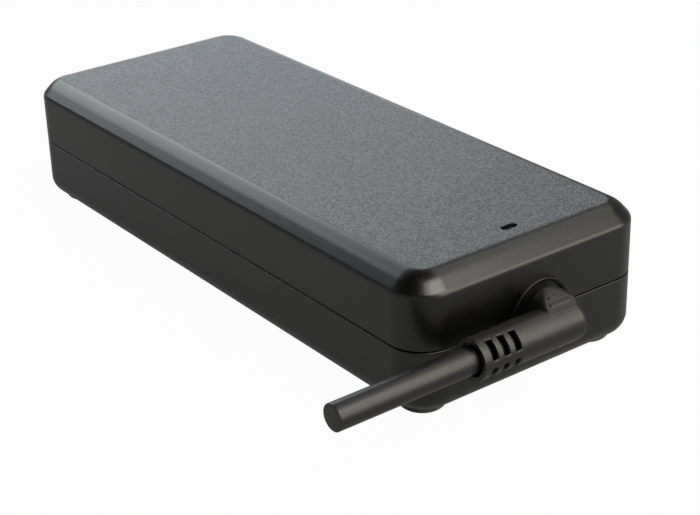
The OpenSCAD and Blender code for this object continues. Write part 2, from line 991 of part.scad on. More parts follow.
module grip_bars() {
    tilted(flat_top) {
        for (bar = bars) {
            box(-bar[0] - bar_w, -bar[0], bar[1], bar[2], flat_r - bite, flat_r + bar_proud);
        }
    }
}

module sleeve() {
    along_sleeve(0) rounded_disc(sleeve_d / 2, sleeve_end_y, sleeve_round);
    along_sleeve(bite) mirror([0, 0, 1]) rounded_disc(sleeve_d / 2, sleeve_l + bite, mouth_round);
}

module sleeve_windows() {
    steps = 4;
    for (row = [0 : window_rows - 1], turn = [0, 180], side = [-1, 1]) {
        start = turn + side * window_mid - window_angle / 2;
        along_sleeve(-sleeve_l + window_first + window_pitch * row) linear_extrude(window_w) {
            polygon(concat(
                [[0, 0]],
                [for (i = [0 : steps])
                    let (a = start + window_angle * i / steps)
                    sleeve_d * [cos(a), sin(a)]]
            ));
        }
    }
}

// Round passage of the cores: along the sleeve, round a quarter bend, along the swivel axis
module cores_path(d, x0) {
    along_sleeve(cord_in_y) cylinder(d = d, h = bend_y - cord_in_y);
    translate([bend_x, bend_y, axis_z]) {
        rotate_extrude(angle = 90) translate([bend_r, 0]) circle(d = d);
    }
    along_swivel(x0) cylinder(d = d, h = bend_x - x0);
}

module cord_exit() {
    color("#2a2a2a") difference() {
        union() {
            along_swivel(neck_x0) cylinder(d = neck_d, h = collar_x0 - fit - neck_x0);
            along_swivel(neck_x0) cylinder(d = groove_d, h = neck_x1 - neck_x0);
            along_swivel(collar_x1 + fit) cylinder(d = neck_d, h = neck_x1 - collar_x1 - fit);
            head();
            grip_bars();
            sleeve();
        }
        along_sleeve(-sleeve_l - over) cylinder(d = sleeve_bore, h = sleeve_l + over + grip_y);
        along_sleeve(grip_y - over) cylinder(d = cord_d + 2 * grip_clear, h = cord_in_y - grip_y + over);
        cores_path(cores_d + 2 * cores_clear, neck_x0 - over);
        sleeve_windows();
    }
}

module cord_cores() {
    color("#b5652a") cores_path(cores_d, neck_x0);
}

// ---------- cord ----------

function unit(v) = v / norm(v);

// Direction of the route at point i
function heading(route, i) =
    unit(route[min(i + 1, len(route) - 1)] - route[max(i - 1, 0)]);

// One ring of points round the route at point i
function route_ring(route, i, r) =
    let (
        ahead = heading(route, i),
        side = unit(cross(ahead, [0, 0, 1])),
        up = cross(side, ahead)
    )
    [for (k = [0 : cord_sides - 1])
        let (a = 360 * k / cord_sides)
        route[i] + r * (cos(a) * side + sin(a) * up)];

module swept_tube(route, r) {
    rings = len(route);
    points = [for (i = [0 : rings - 1]) each route_ring(route, i, r)];
    near_cap = [for (k = [0 : cord_sides - 1]) k];
    far_cap = [for (k = [cord_sides - 1 : -1 : 0]) (rings - 1) * cord_sides + k];
    walls = [for (i = [0 : rings - 2], k = [0 : cord_sides - 1])
        let (n = (k + 1) % cord_sides, a = i * cord_sides, b = a + cord_sides)
        [a + k, b + k, b + n, a + n]];
    polyhedron(points, concat([near_cap], walls, [far_cap]), convexity = 4);
}

module cord_jacket() {
    color("#242424") swept_tube(cord_route, cord_d / 2);
}

bottom_cover();
top_cover();
rubber_feet();
led_lens();
status_led();
ac_inlet();
line_pin();
neutral_pin();
earth_pin();
inlet_leads();
circuit_board();
insulating_sheet();
lower_shield();
upper_shield();
thermal_pads();
fuse();
varistor();
x_capacitor();
filter_core();
filter_windings();
bridge_rectifier();
boost_core();
boost_coil();
bulk_capacitor();
primary_heatsink();
primary_transistors();
controller_chip();
optocoupler();
y_capacitor();
transformer_core();
transformer_bobbin();
transformer_winding();
secondary_heatsink();
output_rectifier();
output_choke();
output_capacitors();
output_leads();
exit_bushing();
swivel_collar();
cord_exit();
cord_cores();
cord_jacket();
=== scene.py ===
"""Laptop power adapter: a matt two-part plastic case with a swivelling right-angle cord exit."""

import math

import bmesh
import bpy
import numpy as np
from mathutils import Matrix, Vector


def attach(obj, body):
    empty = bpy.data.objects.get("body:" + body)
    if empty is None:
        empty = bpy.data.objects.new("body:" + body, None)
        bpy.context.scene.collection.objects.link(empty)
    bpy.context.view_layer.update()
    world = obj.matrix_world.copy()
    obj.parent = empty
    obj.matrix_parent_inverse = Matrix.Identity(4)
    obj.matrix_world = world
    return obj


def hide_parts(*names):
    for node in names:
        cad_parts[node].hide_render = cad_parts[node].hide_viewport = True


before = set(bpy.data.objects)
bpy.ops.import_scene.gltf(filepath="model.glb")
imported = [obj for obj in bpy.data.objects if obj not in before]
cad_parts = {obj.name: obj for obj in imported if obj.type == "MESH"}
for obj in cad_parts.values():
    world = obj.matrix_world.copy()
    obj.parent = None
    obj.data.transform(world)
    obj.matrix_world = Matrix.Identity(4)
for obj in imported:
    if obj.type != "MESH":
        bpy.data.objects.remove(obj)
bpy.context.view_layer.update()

MM = 0.001

# Case, in millimetres
END_X = 75.0
SIDE_Y = 30.35
BASE_Z = 1.7
TOP_Z = 31.2
CORNER_R = 8.0
WALL = 2.2
BEVEL_IN = 3.2
BEVEL_DOWN = 3.6
BEVEL_TOP_R = 5.4
BEVEL_LOW_R = 1.8
BASE_EDGE_R = 4.4
PARTING_Z = 15.9
PARTING_GAP = 0.3
PARTING_ROUND = 0.18
LIP_H = 2.0
LIP_SKIN = 1.1
FIT = 0.05
RAIL_T = 1.4
# How far joined parts run into each other, and how far a cutter reaches past a face
BITE = 0.5
OVER = 1
# Where a turned profile stops, just short of its own axis
NEAR_AXIS = 0.01

# Posts that carry the board, in the lower half
POST_XS = (-49.2, 59.2)
POST_Y = 23.8
POST_R = 2.6
POST_H = 3.5
POST_PIN_R = 1.2
BOARD_T = 1.6

# Feet, inlet and light
FOOT_R = 5.0
FOOT_X = END_X - 8.3
FOOT_Y = SIDE_Y - 8.1
FOOT_POCKET = 0.8
FOOT_RIM = 1.6
FOOT_PLACES = [(x, y) for x in (-FOOT_X, FOOT_X) for y in (-FOOT_Y, FOOT_Y)]
INLET_W = 26.8
INLET_H = 19.6
INLET_FLANGE = 1.6
INLET_RAIL_GAP = 0.5
LIGHT_X = 66.0
LIGHT_Y = 0.6
SLOT_L = 3.8
SLOT_W = 1.7
LENS_SINK = 0.45
LENS_RIM = 1
LENS_FLANGE = 1

# Swivelling exit
AXIS_Z = 16.15
RING_R = 7.65
RING_PROUD = 1.4
PLATE_X0 = 70.95
PLATE_X1 = 72.75
PLATE_HALF = 10.0
BUSH_R = 7.2
NECK_R = 5.6
NECK_X0 = 67
NECK_X1 = 78.6
GROOVE_R = 4.8
GROOVE_X = 69.825
GROOVE_HALF = 0.975
HEAD_R = 5.5
HEAD_RISE = 1.0
HEAD_X0 = 77.3
HEAD_X1 = 83.55
FLAT_TOP = math.radians(28)
FLAT_LOW = math.radians(14)
SLEEVE_X = 81.35
SLEEVE_R = 4.3
SLEEVE_END_Y = 3.9
MOUTH_Y = -22.55
WINDOW_W = 1.35
WINDOW_PITCH = 2.87
WINDOW_FIRST = 2.0
WINDOW_MID = math.radians(40.5)
WINDOW_SPAN = math.radians(57)
WINDOW_ROWS = 3
BAR_W = 0.7
BAR_PROUD = 0.22
# Where each grip bar's front edge lies across the flat, and the Y it runs between
BARS = ((-3.2, -1.9, 1.8), (-1.6, -2.7, 2.5))
CORD_R = 2.75
CORD_IN_Y = -6.0
CORD_L = 48.7

# Edges that meet more sharply than this stay sharp
SHARP_ANGLE = math.radians(32)


# ---------- camera ----------

def place_camera():
    """Looks down on the cord end of the case from one corner."""
    azimuth, elevation, roll = (math.radians(a) for a in (53.3708, 25.9607, -1.5679))
    aim = Vector((0, 0, 0.0142))
    distance, aside, down = 0.38402, 0.008885, 0.012765
    back = Vector((
        math.sin(azimuth) * math.cos(elevation),
        -math.cos(azimuth) * math.cos(elevation),
        math.sin(elevation),
    ))
    level = Vector((math.cos(azimuth), math.sin(azimuth), 0))
    rise = back.cross(level)
    right = math.cos(roll) * level + math.sin(roll) * rise
    up = back.cross(right)
    camera = bpy.data.objects.new("camera", bpy.data.cameras.new("camera"))
    camera.data.lens = 86.36
    camera.data.sensor_width = 36
    camera.data.clip_start = 0.01
    camera.data.clip_end = 20
    place = aim + distance * back + aside * right - down * up
    facing = Matrix((right, up, back)).transposed().to_4x4()
    camera.matrix_world = Matrix.Translation(place) @ facing
    bpy.context.scene.collection.objects.link(camera)
    bpy.context.scene.camera = camera


bpy.context.scene.view_settings.view_transform = "Standard"
place_camera()


# ---------- making meshes ----------

def face_outwards(mesh, weld=None):
    """Turns a closed mesh's faces outwards, after joining points nearer than weld metres."""
    skin = bmesh.new()
    skin.from_mesh(mesh)
    if weld:
        bmesh.ops.remove_doubles(skin, verts=skin.verts, dist=weld)
    bmesh.ops.recalc_face_normals(skin, faces=skin.faces)
    skin.to_mesh(mesh)
    skin.free()


def full_turn(steps):
    """Angles of one full turn in even steps, in radians."""
    return [2 * math.pi * k / steps for k in range(steps)]


def mesh_piece(name, points, faces, finish, body, slot, stands_for=(), normals=None):
    """A piece from points in millimetres, smooth except at its sharp edges."""
    mesh = bpy.data.meshes.new(name)
    mesh.from_pydata([tuple(p) for p in np.asarray(points, float) * MM], [], faces)
    mesh.update()
    piece = bpy.data.objects.new(name, mesh)
    bpy.context.scene.collection.objects.link(piece)
    if normals is None:
        face_outwards(mesh, weld=1e-7)
        mesh.shade_smooth()
        mesh.set_sharp_from_angle(angle=SHARP_ANGLE)
        even = piece.modifiers.new("even_shading", "WEIGHTED_NORMAL")
        even.keep_sharp = True
        even.weight = 80
    else:
        mesh.shade_smooth()
        mesh.normals_split_custom_set_from_vertices(normals)
    mesh.materials.append(finish)
    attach(piece, body)
    if stands_for:
        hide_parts(*stands_for)
    return piece


def lofted(rings, closed=False):
    """Points and faces of a skin through equal rings, capped at both ends unless it closes."""
    count, around = len(rings), len(rings[0])
    points = [p for ring in rings for p in ring]
    faces = []
    for i in range(count if closed else count - 1):
        a, b = i * around, (i + 1) % count * around
        for k in range(around):
            n = (k + 1) % around
            faces.append((a + k, a + n, b + n, b + k))
    if not closed:
        faces.append(tuple(range(around - 1, -1, -1)))
        faces.append(tuple((count - 1) * around + k for k in range(around)))
    return points, faces


def turned(profile, steps=96):
    """Points and faces of a closed profile of (radius, height) pairs turned about the Z axis."""
    rings = [
        [(r * math.cos(a), r * math.sin(a), h) for r, h in profile] for a in full_turn(steps)
    ]
    return lofted(rings, closed=True)


def arc(cx, cy, r, start, end, steps):
    """Points on an arc between two angles in degrees."""
    angles = [math.radians(start + (end - start) * i / steps) for i in range(steps + 1)]
    return [(cx + r * math.cos(a), cy + r * math.sin(a)) for a in angles]


def merged(*parts):
    """Several sets of points and faces as one."""
    points, faces = [], []
    for more, sides in parts:
        first = len(points)
        points += list(more)
        faces += [tuple(first + k for k in side) for side in sides]
    return points, faces


def moved(part, matrix):
    """Points and faces with the points moved by a matrix in millimetres."""
    points, faces = part
    return [tuple(matrix @ Vector(p)) for p in points], faces


def block(x0, x1, y0, y1, z0, z1):
    """Points and faces of an upright block."""
    ring = [(x0, y0), (x1, y0), (x1, y1), (x0, y1)]
    return lofted([[(x, y, z) for x, y in ring] for z in (z0, z1)])


def rod(r, h0, h1, steps=48):
    """Points and faces of a plain rod along Z."""
    ring = [(r * math.cos(a), r * math.sin(a)) for a in full_turn(steps)]
    return lofted([[(x, y, z) for x, y in ring] for z in (h0, h1)])


def shaped(piece, operation, part):
    """Cuts a part out of a piece or joins it on, and keeps the result in the piece's own mesh."""
    points, faces = part
    tool_mesh = bpy.data.meshes.new("tool")
    tool_mesh.from_pydata([tuple(p) for p in np.asarray(points, float) * MM], [], faces)
    face_outwards(tool_mesh)
    tool = bpy.data.objects.new("tool", tool_mesh)
    bpy.context.scene.collection.objects.link(tool)
    step = piece.modifiers.new("shape", "BOOLEAN")
    step.object = tool
    step.operation = operation
    step.solver = "EXACT"
    even = piece.modifiers.get("even_shading")
    even.show_viewport = False
    bpy.context.view_layer.update()
    graph = bpy.context.evaluated_depsgraph_get()
    result = bpy.data.meshes.new_from_object(piece.evaluated_get(graph))
    piece.modifiers.remove(step)
    even.show_viewport = True
    piece.data = result
    result.shade_smooth()
    result.set_sharp_from_angle(angle=SHARP_ANGLE)
    bpy.data.objects.remove(tool)


# Turns a shape that rises along +Z so that it runs along +X at the swivel's axis
ALONG_SWIVEL = (
    Matrix.Translation((0, 0, AXIS_Z)) @ Matrix(((0, 0, 1), (0, 1, 0), (-1, 0, 0))).to_4x4()
)


# ---------- finishes ----------

def group_node(tree, kind, **settings):
    node = tree.nodes.new(kind)
    for name, value in settings.items():
        setattr(node, name, value)
    return node


def start_group(name, inputs, outputs):
    """A shader group with its named sockets, and its two end nodes."""
    tree = bpy.data.node_groups.new(name, "ShaderNodeTree")
    for label, value in inputs:
        socket = tree.interface.new_socket(
            name=label, in_out="INPUT", socket_type="NodeSocketFloat",
        )
        socket.default_value = value
    for label, kind in outputs:
        tree.interface.new_socket(name=label, in_out="OUTPUT", socket_type=kind)
    return tree, tree.nodes.new("NodeGroupInput"), tree.nodes.new("NodeGroupOutput")


def make_moulded_grain():
    """Fine grain of a mould: its height, weaker below a level, and how far a point is above it."""
    tree, given, out = start_group(
        "moulded_grain",
        [("Grains per metre", 3000), ("From height", 0), ("Fade", 0.001), ("Elsewhere", 0.3)],
        [("Height", "NodeSocketFloat"), ("Above", "NodeSocketFloat")],
    )
    link = tree.links.new
    place = group_node(tree, "ShaderNodeTexCoord")
    coarse = group_node(tree, "ShaderNodeTexNoise", noise_dimensions="3D")
    coarse.inputs["Detail"].default_value = 2
    coarse.inputs["Roughness"].default_value = 0.7
    link(place.outputs["Object"], coarse.inputs["Vector"])
    link(given.outputs["Grains per metre"], coarse.inputs["Scale"])
    spread = group_node(tree, "ShaderNodeMapRange")
    spread.inputs["From Min"].default_value = 0.42
    spread.inputs["From Max"].default_value = 0.58
    link(coarse.outputs["Fac"], spread.inputs["Value"])
    parts = group_node(tree, "ShaderNodeSeparateXYZ")
    link(place.outputs["Object"], parts.inputs["Vector"])
    above = group_node(tree, "ShaderNodeMath", operation="SUBTRACT")
    link(parts.outputs["Z"], above.inputs[0])
    link(given.outputs["From height"], above.inputs[1])
    ramp = group_node(tree, "ShaderNodeMath", operation="DIVIDE", use_clamp=True)
    link(above.outputs[0], ramp.inputs[0])
    link(given.outputs["Fade"], ramp.inputs[1])
    share = group_node(tree, "ShaderNodeMapRange")
    link(ramp.outputs[0], share.inputs["Value"])
    link(given.outputs["Elsewhere"], share.inputs["To Min"])
    height = group_node(tree, "ShaderNodeMath", operation="MULTIPLY")
    link(spread.outputs["Result"], height.inputs[0])
    link(share.outputs["Result"], height.inputs[1])
    link(height.outputs[0], out.inputs["Height"])
    link(ramp.outputs[0], out.inputs["Above"])
    return tree


def make_soft_mottle():
    """Slow, faint unevenness over a surface, as a mask from 0 to 1."""
    tree, given, out = start_group(
        "soft_mottle",
        [("Patches per metre", 60)],
        [("Mask", "NodeSocketFloat")],
    )
    place = group_node(tree, "ShaderNodeTexCoord")
    patches = group_node(tree, "ShaderNodeTexNoise", noise_dimensions="3D")
    patches.inputs["Detail"].default_value = 4
    tree.links.new(place.outputs["Object"], patches.inputs["Vector"])
    tree.links.new(given.outputs["Patches per metre"], patches.inputs["Scale"])
    tree.links.new(patches.outputs["Fac"], out.inputs["Mask"])
    return tree


MOULDED_GRAIN = make_moulded_grain()
SOFT_MOTTLE = make_soft_mottle()


def placed_group(tree, group, **values):
    node = tree.nodes.new("ShaderNodeGroup")
    node.node_tree = group
    for label, value in values.items():
        node.inputs[label.replace("_", " ")].default_value = value
    return node


def between(tree, fac, low, high):
    """A number that runs from low to high as fac runs from 0 to 1."""
    node = group_node(tree, "ShaderNodeMapRange")
    node.inputs["To Min"].default_value = low
    node.inputs["To Max"].default_value = high
    tree.links.new(fac, node.inputs["Value"])
    return node.outputs["Result"]


def tinted(tree, fac, low, high):
    """A colour that runs from low to high as fac runs from 0 to 1."""
    node = group_node(tree, "ShaderNodeMix", data_type="RGBA")
    tree.links.new(fac, node.inputs["Factor"])
    node.inputs["A"].default_value = (*low, 1)
    node.inputs["B"].default_value = (*high, 1)
    return node.outputs["Result"]


def grey(tone):
    return (tone, tone, tone)


# How much of a finish's drift between its two tones follows the grain, and how much the mottle
TONE_BY_GRAIN = 0.8
TONE_BY_MOTTLE = 0.2


def grained_finish(
    name, low, high, rough, grains, depth,
    specular=0.5, metallic=0.0, coat=0.0, from_height=-1.0, fade=0.001, elsewhere=1.0, above=None,
):
    """A finish whose colour drifts between two tones, with the grain and in soft patches.

    rough is the range of roughness over the patches, grains the number of grains per metre, and
    depth the height of a grain in metres. above gives two other tones and an extra roughness,
    which take over above the height where the grain is full.
    """
    finish = bpy.data.materials.new(name)
    finish.use_nodes = True
    tree = finish.node_tree
    shader = tree.nodes["Principled BSDF"]
    shader.inputs["Specular IOR Level"].default_value = specular
    shader.inputs["Metallic"].default_value = metallic
    shader.inputs["Coat Weight"].default_value = coat
    mottle = placed_group(tree, SOFT_MOTTLE)
    grain = placed_group(
        tree, MOULDED_GRAIN,
        Grains_per_metre=grains, From_height=from_height, Fade=fade, Elsewhere=elsewhere,
    )
    blend = group_node(tree, "ShaderNodeMath", operation="MULTIPLY_ADD", use_clamp=True)
    blend.inputs[1].default_value = TONE_BY_GRAIN
    patchy = group_node(tree, "ShaderNodeMath", operation="MULTIPLY")
    patchy.inputs[1].default_value = TONE_BY_MOTTLE
    tree.links.new(grain.outputs["Height"], blend.inputs[0])
    tree.links.new(mottle.outputs["Mask"], patchy.inputs[0])
    tree.links.new(patchy.outputs[0], blend.inputs[2])
    tone = tinted(tree, blend.outputs[0], low, high)
    roughness = between(tree, mottle.outputs["Mask"], *rough)
    # On the roof the tones above run from black grain specks to a light blue-grey, which paints in
    # the bluish sheen of the lamps
    if above:
        low_above, sheen_tone_above, extra_rough = above
        over = group_node(tree, "ShaderNodeMix", data_type="RGBA")
        tree.links.new(grain.outputs["Above"], over.inputs["Factor"])
        tree.links.new(tone, over.inputs["A"])
        tree.links.new(tinted(tree, blend.outputs[0], low_above, sheen_tone_above), over.inputs["B"])
        tone = over.outputs["Result"]
        rougher = group_node(tree, "ShaderNodeMath", operation="MULTIPLY_ADD")
        rougher.inputs[1].default_value = extra_rough
        tree.links.new(grain.outputs["Above"], rougher.inputs[0])
        tree.links.new(roughness, rougher.inputs[2])
        roughness = rougher.outputs[0]
    tree.links.new(tone, shader.inputs["Base Color"])
    tree.links.new(roughness, shader.inputs["Roughness"])
    bump = group_node(tree, "ShaderNodeBump")
    bump.inputs["Strength"].default_value = 1
    bump.inputs["Distance"].default_value = depth
    tree.links.new(grain.outputs["Height"], bump.inputs["Height"])
    tree.links.new(bump.outputs["Normal"], shader.inputs["Normal"])
    return finish


# The roof's coarse grain and its painted sheen begin at this height and are full a little above it,
# in metres
ROOF_GRAIN_AND_SHEEN_FROM = 0.03108
ROOF_GRAIN_AND_SHEEN_FADE = 0.0001

CASE_PLASTIC = grained_finish(
    "case_plastic", grey(0.0004), grey(0.0014), (0.29, 0.34), 2000, 0.00006,
    specular=0.7, from_height=ROOF_GRAIN_AND_SHEEN_FROM, fade=ROOF_GRAIN_AND_SHEEN_FADE, elsewhere=0.08,
    # Roof: real grain specks, lightened and tinted blue overall as painted sheen
    above=(grey(0), (0.110, 0.117, 0.126), 0.14),
)
BASE_PLASTIC = grained_finish(
    "base_plastic", grey(0.0004), grey(0.0014), (0.29, 0.34), 2500, 0.000008, specular=0.7,
)
EXIT_ELASTOMER = grained_finish(
    "exit_elastomer", grey(0.0002), grey(0.0008), (0.37, 0.44), 2800, 0.000008, specular=0.75,
)
CORD_VINYL = grained_finish(
    "cord_vinyl", grey(0.0002), grey(0.0008), (0.37, 0.44), 2800, 0.000008, specular=0.75,
)
BUSHING_PLASTIC = grained_finish(
    "bushing_plastic", grey(0.0001), grey(0.0003), (0.34, 0.42), 3000, 0.00001, specular=0.5,
)
# Grey rubber, its tone lightened further to paint in the light that the floor throws up on the feet
FOOT_RUBBER = grained_finish(
    "foot_rubber", (0.130, 0.129, 0.124), (0.165, 0.164, 0.158), (0.55, 0.7), 2200, 0.00002,
    specular=0.35,
)
LENS_SMOKE = grained_finish(
    "lens_smoke", grey(0.006), grey(0.012), (0.45, 0.55), 1800, 0.000004, specular=0.03,
)
INLET_PLASTIC = grained_finish(
    "inlet_plastic", grey(0.012), grey(0.024), (0.30, 0.42), 2000, 0.00001,
)
BLADE_METAL = grained_finish(
    "blade_metal", (0.62, 0.62, 0.60), (0.80, 0.80, 0.79), (0.18, 0.32), 1500, 0.000006,
    metallic=1.0,
)
COPPER = grained_finish(
    "bare_copper", (0.70, 0.33, 0.18), (0.86, 0.48, 0.30), (0.22, 0.38), 1600, 0.000008,
    metallic=1.0,
)
WIRE_ENAMEL = grained_finish(
    "wire_enamel", (0.50, 0.20, 0.07), (0.66, 0.31, 0.12), (0.22, 0.34), 900, 0.00006,
    metallic=0.7, coat=0.6,
)
BOARD_LAMINATE = grained_finish(
    "board_laminate", (0.035, 0.15, 0.06), (0.06, 0.23, 0.10), (0.30, 0.42), 1200, 0.00002,
    coat=0.3,
)
FISH_PAPER = grained_finish(
    "fish_paper", (0.66, 0.62, 0.52), (0.80, 0.77, 0.68), (0.7, 0.85), 1500, 0.00003, specular=0.3,
)
SHIELD_METAL = grained_finish(
    "shield_metal", (0.60, 0.33, 0.19), (0.76, 0.46, 0.29), (0.26, 0.42), 700, 0.00002,
    metallic=1.0,
)
THERMAL_RUBBER = grained_finish(
    "thermal_rubber", (0.24, 0.42, 0.52), (0.32, 0.52, 0.62), (0.7, 0.85), 1400, 0.00004,
)
FUSE_CASE = grained_finish(
    "fuse_case", (0.08, 0.045, 0.03), (0.14, 0.085, 0.06), (0.35, 0.5), 1600, 0.00002,
)
BLUE_COATING = grained_finish(
    "blue_coating", (0.03, 0.10, 0.36), (0.06, 0.16, 0.48), (0.2, 0.36), 1100, 0.00004, coat=0.4,
)
YELLOW_CASE = grained_finish(
    "yellow_case", (0.58, 0.37, 0.03), (0.74, 0.50, 0.06), (0.35, 0.5), 1800, 0.00002,
)
FERRITE = grained_finish(
    "ferrite", (0.045, 0.045, 0.05), (0.085, 0.085, 0.095), (0.45, 0.65), 1500, 0.00005,
)
PAINTED_FERRITE = grained_finish(
    "painted_ferrite", (0.04, 0.18, 0.09), (0.08, 0.27, 0.14), (0.35, 0.5), 1300, 0.00004,
)
YELLOW_TAPE = grained_finish(
    "yellow_tape", (0.62, 0.46, 0.03), (0.78, 0.60, 0.07), (0.25, 0.4), 500, 0.00004, coat=0.2,
)
BOBBIN_PLASTIC = grained_finish(
    "bobbin_plastic", (0.64, 0.60, 0.50), (0.76, 0.72, 0.62), (0.4, 0.55), 1500, 0.00002,
)
CHIP_EPOXY = grained_finish(
    "chip_epoxy", grey(0.014), grey(0.03), (0.5, 0.65), 2600, 0.00003,
)
WHITE_EPOXY = grained_finish(
    "white_epoxy", (0.68, 0.68, 0.66), (0.80, 0.80, 0.79), (0.4, 0.55), 1800, 0.00002,
)
CAN_SLEEVE = grained_finish(
    "can_sleeve", (0.012, 0.018, 0.06), (0.025, 0.035, 0.10), (0.18, 0.3), 700, 0.00003, coat=0.3,
)
SINK_ALUMINIUM = grained_finish(
    "sink_aluminium", (0.62, 0.63, 0.64), (0.76, 0.77, 0.78), (0.3, 0.45), 900, 0.00002,
    metallic=1.0,
)
LEAD_COVER = grained_finish(
    "lead_cover", grey(0.02), grey(0.04), (0.35, 0.5), 1500, 0.00002,
)
COLLAR_ACETAL = grained_finish(
    "collar_acetal", (0.60, 0.60, 0.56), (0.72, 0.72, 0.68), (0.3, 0.42), 1500, 0.00001,
)
LED_EPOXY = grained_finish(
    "led_epoxy", (0.70, 0.76, 0.64), (0.84, 0.90, 0.80), (0.05, 0.12), 600, 0.00001,
)

# Parts that show their own turned or moulded solids, and their finish
for node, finish in {
    "status_led": LED_EPOXY,
    "ac_inlet": INLET_PLASTIC,
    "line_pin": BLADE_METAL,
    "neutral_pin": BLADE_METAL,
    "earth_pin": BLADE_METAL,
    "inlet_leads": COPPER,
    "circuit_board": BOARD_LAMINATE,
    "insulating_sheet": FISH_PAPER,
    "lower_shield": SHIELD_METAL,
    "upper_shield": SHIELD_METAL,
    "thermal_pads": THERMAL_RUBBER,
    "fuse": FUSE_CASE,
    "varistor": BLUE_COATING,
    "x_capacitor": YELLOW_CASE,
    "filter_core": PAINTED_FERRITE,
    "filter_windings": WIRE_ENAMEL,
    "bridge_rectifier": CHIP_EPOXY,
    "boost_core": FERRITE,
    "boost_coil": YELLOW_TAPE,
    "bulk_capacitor": CAN_SLEEVE,
    "primary_heatsink": SINK_ALUMINIUM,
    "primary_transistors": CHIP_EPOXY,
    "controller_chip": CHIP_EPOXY,
    "optocoupler": WHITE_EPOXY,
    "y_capacitor": BLUE_COATING,
    "transformer_core": FERRITE,
    "transformer_bobbin": BOBBIN_PLASTIC,
    "transformer_winding": YELLOW_TAPE,
    "secondary_heatsink": SINK_ALUMINIUM,
    "output_rectifier": CHIP_EPOXY,
    "output_choke": WIRE_ENAMEL,
    "output_capacitors": CAN_SLEEVE,
    "output_leads": LEAD_COVER,
    "swivel_collar": COLLAR_ACETAL,
    "cord_cores": COPPER,
}.items():
    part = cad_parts[node]
    part.data.materials.clear()
    part.data.materials.append(finish)


# ---------- cord and its right-angle exit ----------

def make_cord():
    """Round jacket along the route, cut square with its edge just taken off."""
    edge, middle = 0.12, 0.6
    rows, sides = 24, 64
    profile = [(middle, 0), (CORD_R, 0)]
    profile += [(CORD_R, CORD_L * i / rows) for i in range(1, rows)]
    profile += arc(CORD_R - edge, CORD_L - edge, edge, 0, 90, 5)
    profile += [(middle, CORD_L)]
    points, faces = lofted([
        [(r * math.cos(a), r * math.sin(a), h) for a in full_turn(sides)] for r, h in profile
    ])
    turn = Matrix(((1, 0, 0), (0, 0, -1), (0, 1, 0))).to_4x4()
    down_y = Matrix.Translation((SLEEVE_X, CORD_IN_Y, AXIS_Z)) @ turn
    return mesh_piece(
        "cord", *moved((points, faces), down_y), CORD_VINYL, "exit", "cord_vinyl", ["cord_jacket"],
    )


def rounded_box_distance(across, along, round_r):
    """Distance from a rounded box, given how far a point lies outside each pair of its sides."""
    a, b = across + round_r, along + round_r
    return np.hypot(np.maximum(a, 0), np.maximum(b, 0)) + np.minimum(np.maximum(a, b), 0) - round_r


def joined(a, b, fillet):
    """Both shapes together, with a fillet where they meet."""
    share = np.clip(0.5 + 0.5 * (b - a) / fillet, 0, 1)
    return b + (a - b) * share - fillet * share * (1 - share)


def less(a, b, edge):
    """The first shape with the second cut out of it, the edge rounded."""
    return -joined(-a, b, edge)


def common(a, b, edge):
    """What both shapes share, the edge rounded."""
    return -joined(-a, -b, edge)


def head_distance(x, y, z):
    """Round boss along X with two flats that run on into the sleeve, and a slanting side."""
    flat_edge, slant_edge, end_edge = 0.6, 1.2, 0.3
    slant_back, slant_x, slant_y = 0.95, 0.5, 0.866
    u, v = x - SLEEVE_X, z - AXIS_Z
    top = u * math.sin(FLAT_TOP) + v * math.cos(FLAT_TOP) - SLEEVE_R
    under = u * math.sin(FLAT_LOW) - v * math.cos(FLAT_LOW) - SLEEVE_R
    side = (u + slant_back) * slant_x + (y - HEAD_R) * slant_y
    head = common(np.hypot(y, v - HEAD_RISE) - HEAD_R, top, flat_edge)
    head = common(head, side, slant_edge)
    ends = np.maximum(HEAD_X0 - x, np.maximum(under, x - HEAD_X1))
    return rounded_box_distance(head, ends, end_edge)


def with_bars(body, x, y, z):
    """The body with two low grip bars across the head's upper flat."""
    edge, lowest = 0.1, AXIS_Z + 2
    up_flat = (AXIS_Z - z) * math.sin(FLAT_TOP) + (x - SLEEVE_X) * math.cos(FLAT_TOP)
    for front, y0, y1 in BARS:
        across = np.maximum(up_flat - front, front - BAR_W - up_flat)
        bar = rounded_box_distance(across, np.maximum(y0 - y, y - y1), edge)
        bar = np.maximum(np.maximum(bar, body - BAR_PROUD), lowest - z)
        body = joined(body, bar, edge)
    return body


def passages_distance(x, y, z):
    """Wide bore at the mouth, the jacket's grip, and the cores' way round the bend to the neck."""
    bore_r, bore_y = 3.3, -9
    grip_r, grip_y = 2.8, -10
    cores_r, turn_r = 2.1, 5
    turn_x, turn_y = SLEEVE_X - turn_r, -turn_r
    from_axis = np.hypot(y, z - AXIS_Z)
    from_sleeve = np.hypot(x - SLEEVE_X, z - AXIS_Z)
    bore = rounded_box_distance(from_sleeve - bore_r, y - bore_y, 0.2)
    grip = np.maximum(from_sleeve - grip_r, np.maximum(grip_y - y, y - CORD_IN_Y))
    ring = np.hypot(x - turn_x, y - turn_y)
    turn = np.maximum(np.hypot(ring - turn_r, z - AXIS_Z), np.maximum(turn_x - x, turn_y - y))
    middle = np.where(x < turn_x, from_axis, np.where(y < turn_y, from_sleeve, turn))
    cores = np.maximum(middle - cores_r, bore_y - y)
    return np.minimum(np.minimum(bore, grip), cores)


